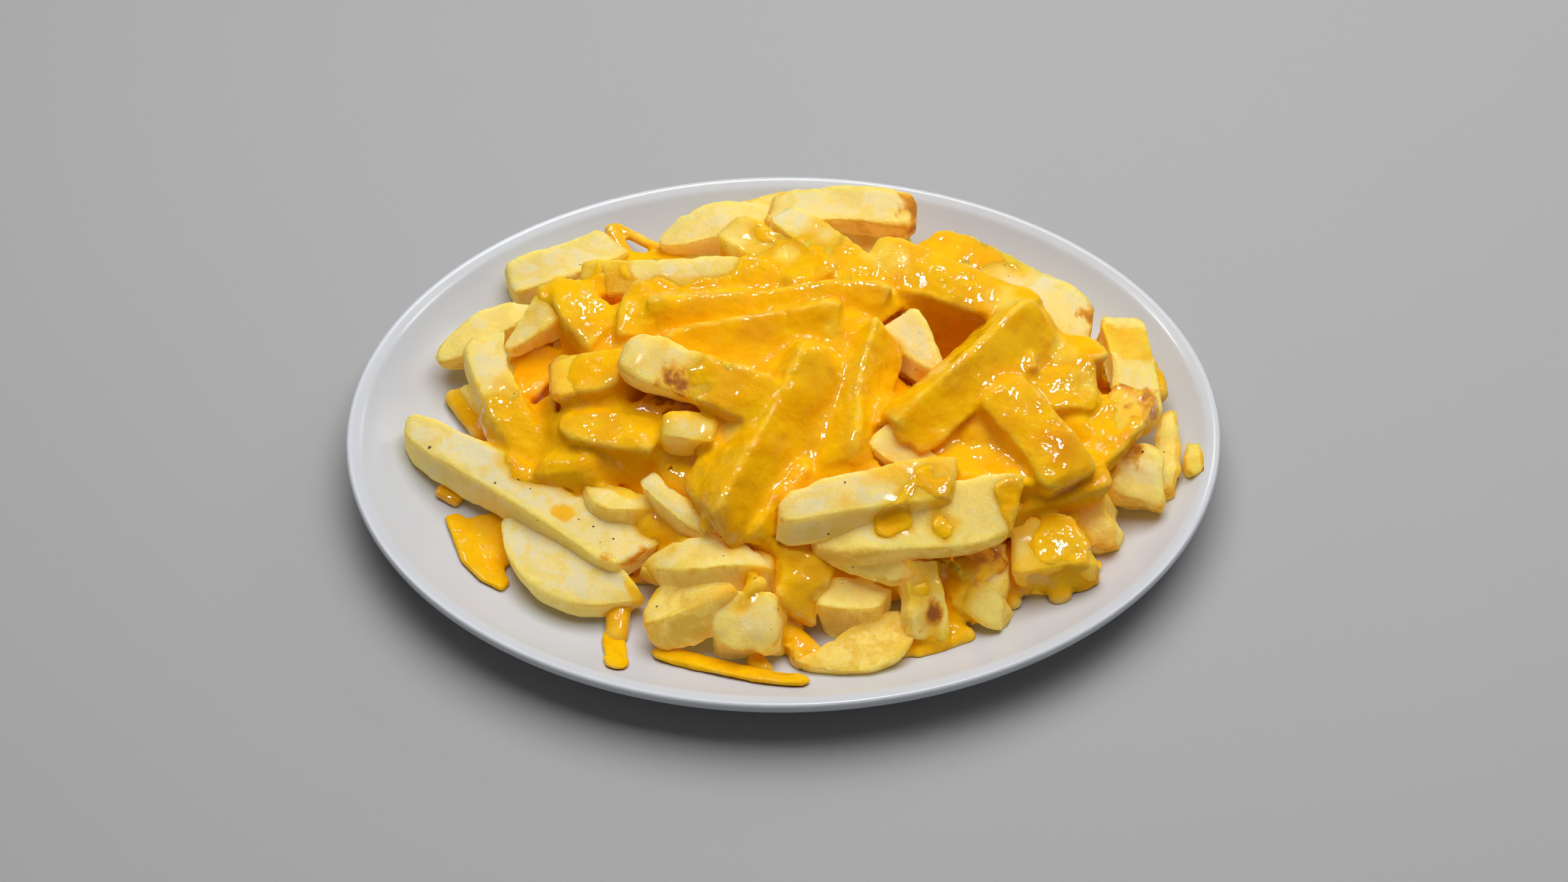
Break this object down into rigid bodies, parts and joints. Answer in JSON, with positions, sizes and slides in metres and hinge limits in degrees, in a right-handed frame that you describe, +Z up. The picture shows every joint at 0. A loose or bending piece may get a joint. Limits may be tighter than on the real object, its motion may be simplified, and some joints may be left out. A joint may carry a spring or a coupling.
{
  "type": "chips with melted cheese on a plate",
  "caption": "Heap of chunky fried chips under melted orange cheese on its white oval plate, with strips, drips and a small pool of cheese on the plate around it.",
  "frame": {"origin": "centre of the plate's outline, on the surface that its foot stands on", "axes": "+Z up, +X along the plate's length towards the right as the eye sees it, -Y towards the eye"},
  "size_m": [0.3048, 0.2368, 0.0552],
  "materials": {
    "white_glaze": "smooth glossy white glaze",
    "fried_potato_and_cheese": "fried potato, pale yellow to brown, half covered with glossy melted cheese",
    "melted_cheese": "glossy melted orange cheese"
  },
  "bodies": {
    "root": {"plate": "white_glaze", "chips_and_cheese": "fried_potato_and_cheese", "fried_crumb_right": "fried_potato_and_cheese", "cheese_strip_front": "melted_cheese", "cheese_strip_left": "melted_cheese", "cheese_scrap_left": "melted_cheese", "cheese_drop_right": "melted_cheese"}
  },
  "joints": []
}
